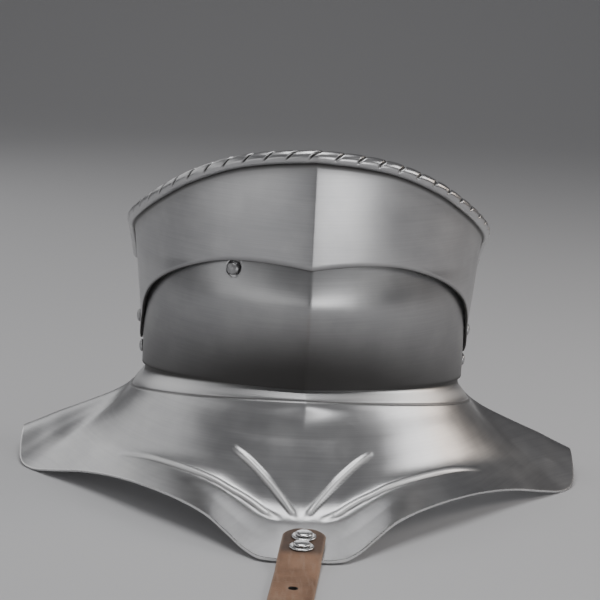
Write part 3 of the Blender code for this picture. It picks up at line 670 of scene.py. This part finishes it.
chin_sheet = bmesh.new()
bmesh.ops.create_grid(chin_sheet, x_segments=380, y_segments=84, size=1)
filed = chin_sheet.verts.layers.float.new("filed_edge")
painted_shade = chin_sheet.verts.layers.float.new("painted_shade")
for vertex in chin_sheet.verts:
    station = max(min(vertex.co.x, 1), -1)
    share = (vertex.co.y + 1) / 2
    height = chin_top(station) * share
    # Painted shade: the colour darkens towards the foot, most near the keel, with a dark line along the lower
    # edge.
    near_keel = 0.62 + 0.55 * math.exp(-((station / 0.36) ** 2))
    low = max(1 - height / CHIN_SHADE_HEIGHT, 0) ** 0.8
    vertex[painted_shade] = near_keel * low + math.exp(-height / CHIN_EDGE_SHADE)
    vertex.co = wall_point(station, height, chin_form)
drill(chin_sheet, wall_frame(STUD_STATION, STUD_HEIGHT), STUD_HOLE_RADIUS)
chin_piece = sheet_object("chin_steel", chin_sheet, PLATE_WALL, "chin_guard", ["chin_plate"])
# The chin plate's steel is given a darker tone than the other plates: painted shade.
chin_piece.data.materials.append(satin_steel("chin_satin_painted_darker", tone=0.44, shine=0.28))

# Falling lame: a band of sheet outside the chin plate that drops on one rivet at each side. Its upper
# edge is rolled outwards over a wire and filed as a rope, with a slanting cut every 12 mm.
LAME_WALL = 1.4 * MM
LAME_GAP = 0.6 * MM
LAME_FRONT_FOOT = 67.5 * MM
LAME_FRONT_RIM = 129.7 * MM
LAME_REAR_RIM = 61 * MM
LAME_FRONT_LEAN = 0.085
LAME_SIDE_FLARE = 0.105
LAME_TAIL_MARGIN = 13.5 * MM
LAME_PIVOT_HEIGHT = 26 * MM
LAME_FLAT_TOP = 30.1 * MM
ROPE_RADIUS = 3.6 * MM
ROPE_STAND = 0.5 * MM
ROPE_PITCH = 12.4 * MM
ROPE_CUT_DEPTH = 1.1 * MM
ROPE_CUT_WIDTH = 1.15 * MM
ROPE_SLANT = 1.5
ROPE_SWELL = 0.10 * MM

# Shares of the way round the bead, from the lame's outer face over the top to its inner face
CUT_FROM, CUT_MIDDLE, CUT_TO, CUT_FADE = 0.20, 0.43, 0.74, 0.10

# Columns: station, height above the tail's lowest point as a share of the front foot's height above it
LAME_FOOT = (
    (0.00, 1.000),
    (0.05, 1.030),
    (0.12, 1.052),
    (0.20, 1.050),
    (0.26, 1.024),
    (0.33, 0.967),
    (0.39, 0.905),
    (0.45, 0.830),
    (0.52, 0.725),
    (0.58, 0.615),
    (0.65, 0.440),
    (0.70, 0.265),
    (0.74, 0.120),
    (0.78, 0.030),
    (0.82, 0.000),
    (0.88, 0.035),
    (0.94, 0.130),
    (1.00, 0.330),
)

# Columns: station, height above the rim's rear end as a share of the front's height above it
LAME_RIM = (
    (0.00, 1.000),
    (0.10, 0.970),
    (0.20, 0.911),
    (0.33, 0.777),
    (0.45, 0.625),
    (0.58, 0.478),
    (0.72, 0.350),
    (0.84, 0.228),
    (0.95, 0.085),
    (1.00, 0.000),
)


def lame_form(station, height):
    """Half width and reach of the lame's inner face, which clears the chin plate and flares upwards."""
    rise = max(height - LAME_FLAT_TOP, 0)
    half_width = CUP_HALF_WIDTH + LAME_GAP + LAME_SIDE_FLARE * rise
    above_foot = max(height - LAME_FRONT_FOOT, 0)
    reach = chin_reach(station, min(height, LAME_FRONT_FOOT)) + LAME_GAP + LAME_FRONT_LEAN * above_foot
    return half_width, reach


def lame_foot(station):
    """Height of the lame's lower edge, which ends in a tail round the pivot rivet."""
    tail = LAME_PIVOT_HEIGHT - LAME_TAIL_MARGIN
    return tail + (LAME_FRONT_FOOT - tail) * read_table(LAME_FOOT, abs(station))[0]


def lame_rim(station):
    """Height of the middle of the roped rim."""
    return LAME_REAR_RIM + (LAME_FRONT_RIM - LAME_REAR_RIM) * read_table(LAME_RIM, abs(station))[0]


RIM_SAMPLES = 2400


def rim_stations(steps):
    """Stations at equal steps along the roped rim, and its length."""
    fine = [-1 + 2 * k / RIM_SAMPLES for k in range(RIM_SAMPLES + 1)]
    places = [wall_point(station, lame_rim(station), lame_form) for station in fine]
    travelled = [0]
    for here, there in zip(places, places[1:]):
        travelled.append(travelled[-1] + (there - here).length)
    found = []
    k = 0
    for step in range(steps + 1):
        goal = travelled[-1] * step / steps
        while k < len(fine) - 2 and travelled[k + 1] < goal:
            k += 1
        part = (goal - travelled[k]) / (travelled[k + 1] - travelled[k])
        found.append(fine[k] + (fine[k + 1] - fine[k]) * part)
    return found, travelled[-1]


WALL_ROWS, BEAD_ROWS, INNER_ROWS = 20, 36, 10
EDGE_ROUND = 0.35 * MM
rim_columns = 1700
rim_places, rim_length = rim_stations(rim_columns)
rope_turns = round(rim_length / ROPE_PITCH)
first_turn = -math.acos(-ROPE_STAND / ROPE_RADIUS)
last_turn = 2 * math.pi - math.acos(-(ROPE_STAND + LAME_WALL) / ROPE_RADIUS)


def rope_radius(column, share):
    """Radius of the bead at a column and a share of the way round it, less where the file has cut."""
    travelled = column / rim_columns * rope_turns
    slant = ROPE_SLANT * (share - CUT_MIDDLE)
    from_cut = abs((travelled - slant + 0.5) % 1 - 0.5) * ROPE_PITCH
    fade = max(min((share - CUT_FROM) / CUT_FADE, (CUT_TO - share) / CUT_FADE, 1), 0)
    depth = min(max(1 - from_cut / ROPE_CUT_WIDTH, 0) * 1.6, 1)
    swell = ROPE_SWELL * math.cos(from_cut / ROPE_PITCH * 2 * math.pi)
    return ROPE_RADIUS - (ROPE_CUT_DEPTH * depth**1.2 + swell) * fade, depth * fade


def lame_outline(column):
    """Points round the lame at a column, each with its filed edge and its painted shade."""
    station = rim_places[column]
    foot = lame_foot(station)
    rim = lame_rim(station)
    middle = wall_point(station, rim, lame_form, LAME_WALL + ROPE_STAND)
    outwards = (middle - wall_point(station, rim, lame_form)).normalized()
    top = rim + ROPE_RADIUS * math.sin(first_turn)
    # Painted shade: darkest along the lower edge, and darker just below the bead, at the bead's outer foot
    # and in the rope's cuts.
    points = [(wall_point(station, foot, lame_form, LAME_WALL / 2), 0, 1)]
    points.append((wall_point(station, foot + EDGE_ROUND * 0.2, lame_form, LAME_WALL * 0.86), 0, 0.9))
    for row in range(WALL_ROWS):
        share = row / WALL_ROWS
        height = foot + EDGE_ROUND + (top - foot - EDGE_ROUND) * share
        shade_here = 0.55 if row == 0 else share**8 * 0.6
        points.append((wall_point(station, height, lame_form, LAME_WALL), 0, shade_here))
    for row in range(BEAD_ROWS + 1):
        share = row / BEAD_ROWS
        turn = first_turn + (last_turn - first_turn) * share
        radius, cut = rope_radius(column, share)
        place = middle + outwards * radius * math.cos(turn) + Vector((0, 0, radius * math.sin(turn)))
        points.append((place, 0.25 * (1 - cut), max(cut * 1.2, 1.0 - share * 9)))
    for row in range(INNER_ROWS):
        share = (row + 1) / INNER_ROWS
        height = top + (foot + EDGE_ROUND - top) * share
        points.append((wall_point(station, height, lame_form), 0, 0))
    points.append((wall_point(station, foot + EDGE_ROUND * 0.2, lame_form, LAME_WALL * 0.14), 0, 1))
    points.append(points[0])
    return points


outlines = [lame_outline(column) for column in range(rim_columns + 1)]
around = len(outlines[0]) - 1
lame_sheet = bmesh.new()
bmesh.ops.create_grid(lame_sheet, x_segments=rim_columns, y_segments=around, size=1)
filed = lame_sheet.verts.layers.float.new("filed_edge")
painted_shade = lame_sheet.verts.layers.float.new("painted_shade")
for vertex in lame_sheet.verts:
    column = round((vertex.co.x + 1) / 2 * rim_columns)
    row = round((vertex.co.y + 1) / 2 * around)
    vertex.co, vertex[filed], vertex[painted_shade] = outlines[column][row]
bmesh.ops.remove_doubles(lame_sheet, verts=lame_sheet.verts, dist=0.002 * MM)
bmesh.ops.holes_fill(lame_sheet, edges=[edge for edge in lame_sheet.edges if edge.is_boundary], sides=0)
bmesh.ops.triangulate(lame_sheet, faces=[face for face in lame_sheet.faces if len(face.verts) > 4])
lame_piece = sheet_object("lame_steel", lame_sheet, 0, "falling_lame", ["upper_lame"])
lame_piece.data.materials.append(satin_steel("lame_satin", tone=0.53, shine=0.26))

# Rivets of the two plate joints: soft steel, with a round head outside and a tail hammered flat
# inside. The lame turns on the upper pair, and the chin plate on the lower pair.
COLLAR_PIVOT_HEIGHT = 8 * MM
PIVOT_SETBACK = 2 * MM
SEAT_GAP = 0.3 * MM
HEAD_RADIUS = 3.7 * MM
HEAD_HEIGHT = 2.1 * MM
TAIL_RADIUS = 3.2 * MM
TAIL_HEIGHT = 0.9 * MM
SHANK_RADIUS = 2.0 * MM


def domed(radius, height, base, rows=9, lip=0.22):
    """Profile rows of a domed head, from under its lip to its top."""
    rows_up = [(radius * 0.93, base), (radius, base + height * lip * 0.4)]
    for k in range(rows + 1):
        turn = k / rows * math.pi / 2
        rows_up.append((radius * math.cos(turn), base + height * (lip + (1 - lip) * math.sin(turn))))
    return rows_up


def spun(profile, frame, steps=48):
    """Turned body from rows of radius and height, at a frame whose Z axis it turns round."""
    body = bmesh.new()
    line = [body.verts.new((radius, 0, height)) for radius, height in profile]
    edges = [body.edges.new(pair) for pair in zip(line, line[1:])]
    bmesh.ops.spin(
        body, geom=line + edges, axis=(0, 0, 1), cent=(0, 0, 0),
        steps=steps, angle=2 * math.pi, use_merge=True,
    )
    bmesh.ops.remove_doubles(body, verts=body.verts, dist=0.004 * MM)
    bmesh.ops.transform(body, matrix=frame, verts=body.verts)
    bmesh.ops.recalc_face_normals(body, faces=body.faces)
    return body


def small_part(name, body, finish, rides, node):
    """Small solid part of its own, with one finish, in place of its node."""
    part = sheet_object(name, body, 0, rides, [node])
    part.data.set_sharp_from_angle(angle=math.radians(48))
    part.data.materials.append(finish)
    return part


def rivet_rows(over, under, radius, height):
    """Profile of a rivet that holds everything between two faces."""
    tail = [
        (0, under - TAIL_HEIGHT),
        (TAIL_RADIUS * 0.8, under - TAIL_HEIGHT),
        (TAIL_RADIUS * 0.97, under - TAIL_HEIGHT * 0.72),
        (TAIL_RADIUS, under - TAIL_HEIGHT * 0.3),
        (TAIL_RADIUS * 0.96, under),
        (SHANK_RADIUS, under),
        (SHANK_RADIUS, over),
    ]
    return tail + domed(radius, height, over)


rivet_finish = satin_steel("rivet_satin", tone=0.47, shine=0.30, grain=0.4)
for label, height, over, under in (
    ("lame", LAME_PIVOT_HEIGHT, LAME_GAP + LAME_WALL, -PLATE_WALL),
    ("collar", COLLAR_PIVOT_HEIGHT, 0, -2 * PLATE_WALL - FIT_GAP),
):
    for side, hand in ((-1, "right"), (1, "left")):
        seat = pointing(Vector((side * CUP_HALF_WIDTH, PIVOT_SETBACK, height)), Vector((side, 0, 0)))
        rows = rivet_rows(over + SEAT_GAP, under - SEAT_GAP, HEAD_RADIUS, HEAD_HEIGHT)
        small_part(
            f"{hand}_{label}_rivet_steel", spun(rows, seat), rivet_finish,
            "chin_guard", f"{hand}_{label}_rivet",
        )

# Spring catch: a round-headed stud under the lame's edge, fixed to a leaf spring that is pinned to
# the inside of the chin plate. Pressed in, it lets the lame fall.
STUD_PROUD = 3.2 * MM
STUD_NECK_BELOW = 0.2 * MM
LEAF_WALL = 0.8 * MM
LEAF_WIDTH = 8 * MM
LEAF_RISE = 5 * MM
LEAF_PIN_STATION = -0.36
LEAF_ROOT_STATION = -0.39
LEAF_TIP_STATION = -0.18
LEAF_PIN_RADIUS = 1.5 * MM
LEAF_PIN_HEAD = 0.4 * MM

catch_finish = satin_steel("catch_satin", tone=0.40, shine=0.40, grain=0.3)
leaf_near = -PLATE_WALL - FIT_GAP
leaf_sheet = bmesh.new()
bmesh.ops.create_grid(leaf_sheet, x_segments=60, y_segments=10, size=1)
for vertex in leaf_sheet.verts:
    share = (vertex.co.x + 1) / 2
    station = LEAF_ROOT_STATION + (LEAF_TIP_STATION - LEAF_ROOT_STATION) * share
    climb = LEAF_RISE * (station - STUD_STATION) / (LEAF_PIN_STATION - STUD_STATION)
    round_end = math.sqrt(max(1 - max((share - 0.88) / 0.12, 0) ** 2 * 0.9, 0))
    height = STUD_HEIGHT + climb + vertex.co.y * LEAF_WIDTH / 2 * round_end
    vertex.co = wall_point(station, height, chin_form, leaf_near)
leaf_piece = sheet_object("catch_leaf", leaf_sheet, LEAF_WALL, "catch", ["catch_spring"])
leaf_piece.data.materials.append(catch_finish)
stud_neck = STUD_RADIUS * 0.95
stud_foot = leaf_near - LEAF_WALL / 2
stud_rows = [(0, stud_foot), (stud_neck, stud_foot), (stud_neck, -STUD_NECK_BELOW)]
stud_rows += domed(STUD_RADIUS, STUD_PROUD, 0, rows=12, lip=0.3)
small_part(
    "catch_stud", spun(stud_rows, wall_frame(STUD_STATION, STUD_HEIGHT), 64), catch_finish,
    "catch", "catch_spring",
)
pin_height = STUD_HEIGHT + LEAF_RISE
pin_back = leaf_near - LEAF_WALL
pin_rows = [
    (0, pin_back - LEAF_PIN_HEAD),
    (LEAF_PIN_RADIUS * 1.3, pin_back - LEAF_PIN_HEAD),
    (LEAF_PIN_RADIUS * 1.5, pin_back),
    (LEAF_PIN_RADIUS, pin_back),
    (LEAF_PIN_RADIUS, 0),
    (0, 0),
]
small_part(
    "catch_pin", spun(pin_rows, wall_frame(LEAF_PIN_STATION, pin_height), 32), catch_finish,
    "catch", "catch_spring",
)

# Strap: thick tan leather, cut with a rounded end on the plate and a pointed free end, with its edges
# rubbed down and a row of punched holes. It is riveted on the point and lies on the floor.
STRAP_WIDTH = 23 * MM
STRAP_WALL = 2.4 * MM
STRAP_ON_PLATE = 37 * MM
STRAP_BEYOND_PLATE = 108 * MM
STRAP_SETTLE = 16 * MM
STRAP_TURN = math.radians(5.5)
STRAP_SEAT_GAP = 0.7 * MM
STRAP_HOLE_RADIUS = 2.2 * MM
STRAP_FIRST_HOLE = 42 * MM
STRAP_HOLE_SPACING = 22 * MM
STRAP_HOLES = 3
STRAP_RIVETS = {"upper": 23.6 * MM, "lower": 9.0 * MM}
STRAP_EDGE_DROOP = 0.55 * MM
STRAP_EDGE_ROUND = 0.7 * MM
STRAP_RUBBED_WIDTH = 1.3 * MM
BED_SAMPLES = 400
BED_STEP = 0.005


def point_bed_line():
    """Places up the middle of the point that a flat strap rests at, with distance, way up and rise."""
    line = []
    travelled = 0
    last = gorget_point(0, 1)
    for k in range(BED_SAMPLES):
        way = 1 - k / BED_SAMPLES
        place = gorget_point(0, way)
        travelled += (place - last).length
        last = place
        beside = 0
        while gorget_point(beside, way).x < STRAP_WIDTH / 2:
            beside += BED_STEP
        up = gorget_normal(0, way)
        rise = max((gorget_point(beside, way) - place).dot(up), 0)
        line.append((travelled, place, up, rise))
        if travelled > STRAP_ON_PLATE + STRAP_WIDTH:
            return line
    return line


BED = point_bed_line()


def point_bed(distance):
    """Place, way up and rise of the strap's bed on the plate at a distance back from its edge."""
    k = 0
    while k < len(BED) - 2 and BED[k + 1][0] < distance:
        k += 1
    here, there = BED[k], BED[k + 1]
    part = (distance - here[0]) / (there[0] - here[0])
    rise = here[3] + (there[3] - here[3]) * part
    return here[1].lerp(there[1], part), here[2].lerp(there[2], part).normalized(), rise


def strap_bed(distance):
    """Place under the strap's middle at a distance beyond the plate's edge, and the direction up."""
    if distance <= 0:
        place, up, rise = point_bed(-distance)
        return place + up * (rise + STRAP_SEAT_GAP), up
    place, up = strap_bed(0)
    edge = STAND @ place
    settled = min(distance / STRAP_SETTLE, 1)
    eased = settled * settled * (3 - 2 * settled)
    floor_up = STAND.inverted().to_3x3() @ Vector((0, 0, 1))
    laid = Vector((0, edge.y - distance, edge.z * (1 - eased)))
    return STAND.inverted() @ laid, up.lerp(floor_up, eased).normalized()


def strap_point(across, along, lift):
    """Point of the strap, turned a little on its lower rivet and lifted off its bed."""
    from_rivet = along + STRAP_RIVETS["lower"]
    distance = from_rivet * math.cos(STRAP_TURN) + across * math.sin(STRAP_TURN) - STRAP_RIVETS["lower"]
    place, up = strap_bed(distance)
    sideways = across * math.cos(STRAP_TURN) - from_rivet * math.sin(STRAP_TURN)
    return place + Vector((sideways, 0, 0)) + up * lift


def strap_frame(distance, lift=0):
    """Frame on the strap's middle line at a distance back from the plate's edge, with Z pointing up."""
    place = strap_point(0, -distance, lift)
    return pointing(place, (strap_point(0, -distance, lift + MM) - place).normalized())


def strap_half_width(along):
    """Half width of the strap, with a rounded end on the plate and a pointed free end."""
    half = STRAP_WIDTH / 2
    from_top = along + STRAP_ON_PLATE
    from_tip = STRAP_BEYOND_PLATE - along
    top = math.sqrt(max(1 - max(1 - from_top / half, 0) ** 2, 0))
    tip = math.sqrt(min(max(from_tip, 0) / STRAP_WIDTH, 1))
    return half * max(min(top, tip), 0.04)


strap_sheet = bmesh.new()
bmesh.ops.create_grid(strap_sheet, x_segments=34, y_segments=300, size=1)
wear_and_highlight = strap_sheet.verts.layers.float.new("rubbed_edge")
run_layer = strap_sheet.verts.layers.float.new("along")
punched = strap_sheet.verts.layers.float.new("punched")
for vertex in strap_sheet.verts:
    across, share = vertex.co.x, (vertex.co.y + 1) / 2
    eased = (1 - math.cos(share * math.pi)) / 2
    along = -STRAP_ON_PLATE + (STRAP_ON_PLATE + STRAP_BEYOND_PLATE) * (0.8 * share + 0.2 * eased)
    half = strap_half_width(along)
    from_edge = min(
        half * (1 - abs(across)),
        (along + STRAP_ON_PLATE) * 0.6,
        (STRAP_BEYOND_PLATE - along) * 0.6,
    )
    droop = STRAP_EDGE_DROOP * math.exp(-from_edge / STRAP_EDGE_ROUND)
    vertex[wear_and_highlight] = math.exp(-from_edge / STRAP_RUBBED_WIDTH)
    vertex[run_layer] = along / STRAP_BEYOND_PLATE
    vertex.co = strap_point(half * across, along, STRAP_WALL - droop)
for k in range(STRAP_HOLES):
    hole = strap_frame(-STRAP_FIRST_HOLE - STRAP_HOLE_SPACING * k, STRAP_WALL)
    drill(strap_sheet, hole, STRAP_HOLE_RADIUS)
    # Painted shade: the leather round and inside each punched hole is marked to go near-black.
    for vertex in strap_sheet.verts:
        away = (vertex.co - hole.translation).length
        if away < STRAP_HOLE_RADIUS * 2:
            vertex[punched] = math.exp(-max(away / STRAP_HOLE_RADIUS - 1, 0) * 9)
strap_piece = sheet_object("strap_leather", strap_sheet, STRAP_WALL * 0.97, "gorget", ["strap"])


def tan_leather(name):
    """Tan leather: pebbled grain, soft creases across, darker on the plate and burnished edges, with painted
    shade that goes near-black in and round the punched holes.
    """
    material, inputs, place = finish_of(name, 0.0, 0.0)
    cells = place.add("ShaderNodeTexVoronoi", {"Vector": place, "Scale": 900.0}, feature="SMOOTH_F1")
    pores = place.noise(2600, 3)
    cloud = place.noise(55, 4)
    streaks = place.noise(1, 3, stretch=(420, 60, 60))
    creases = place.noise(1, 2, stretch=(60, 520, 60)).clipped(0.60, 0.72)
    edge = place.layer("rubbed_edge").clipped(0.25, 0.9)
    along = place.layer("along")
    on_plate = 1 - along.clipped(-0.06, 0.03)
    body = cloud.clipped(0.3, 0.7).blend((0.170, 0.090, 0.053, 1), (0.315, 0.178, 0.110, 1))
    streaked = (streaks.clipped(0.45, 0.7) * 0.45).blend(body, (0.34, 0.225, 0.16, 1))
    worn = (pores.clipped(0.5, 0.75) * 0.35).blend(streaked, (0.10, 0.058, 0.038, 1))
    darker = (on_plate * 0.75).blend(worn, (0.060, 0.042, 0.034, 1))
    rubbed_edge = (edge * 0.55).blend(darker, (0.36, 0.25, 0.185, 1))
    # Painted shade: near-black in and round the punched holes.
    hole = place.layer("punched")
    hole_painted_dark = hole.clipped(0.1, 0.8).blend(rubbed_edge, (0.012, 0.008, 0.006, 1))
    feed(hole_painted_dark, inputs["Base Color"])
    feed(0.58 + cloud * 0.10 - edge * 0.12, inputs["Roughness"])
    relief = cells * 0.5 + pores * 0.35 - creases * 0.5 + cloud * 0.6
    bump = place.add("ShaderNodeBump", {"Strength": 0.8, "Distance": 0.00025, "Height": relief})
    feed(bump, inputs["Normal"])
    return material


strap_piece.data.materials.append(tan_leather("tan_strap_leather"))

# Washers and rivets of the strap: thin dished steel washers that keep the heads from pulling through
# the leather, and round-headed rivets through washer, strap and plate.
WASHER_RADIUS = 6.6 * MM
WASHER_WALL = 1.0 * MM
STRAP_RIVET_RADIUS = 4.6 * MM
STRAP_RIVET_HEIGHT = 1.8 * MM

washer_finish = satin_steel("washer_satin", tone=0.60, shine=0.22, grain=0.2)
head_finish = satin_steel("strap_rivet_satin", tone=0.66, shine=0.20, grain=0.2)


def washer_seat(distance):
    """Height over the strap's bed at which a flat washer rests on the strap."""
    to_frame = strap_frame(distance).inverted()
    beside = [strap_point(0, side * WASHER_RADIUS - distance, STRAP_WALL) for side in (-1, 0, 1)]
    return max((to_frame @ place).z for place in beside) + SEAT_GAP


for label, distance in STRAP_RIVETS.items():
    bore = SHANK_RADIUS + FIT_GAP
    washer = [
        (bore, 0),
        (WASHER_RADIUS * 0.97, 0),
        (WASHER_RADIUS, WASHER_WALL * 0.18),
        (WASHER_RADIUS * 0.995, WASHER_WALL * 0.42),
        (WASHER_RADIUS * 0.95, WASHER_WALL * 0.70),
        (WASHER_RADIUS * 0.86, WASHER_WALL * 0.92),
        (WASHER_RADIUS * 0.75, WASHER_WALL),
        (bore, WASHER_WALL),
        (bore, 0),
    ]
    seat = washer_seat(distance)
    small_part(
        f"{label}_washer_steel", spun(washer, strap_frame(distance, seat), 64), washer_finish,
        "gorget", f"{label}_washer",
    )
    under = -point_bed(distance)[2] - STRAP_SEAT_GAP - PLATE_WALL - SEAT_GAP
    rows = rivet_rows(seat + WASHER_WALL + SEAT_GAP, under, STRAP_RIVET_RADIUS, STRAP_RIVET_HEIGHT)
    small_part(
        f"{label}_strap_rivet_steel", spun(rows, strap_frame(distance)), head_finish,
        "gorget", f"{label}_strap_rivet",
    )
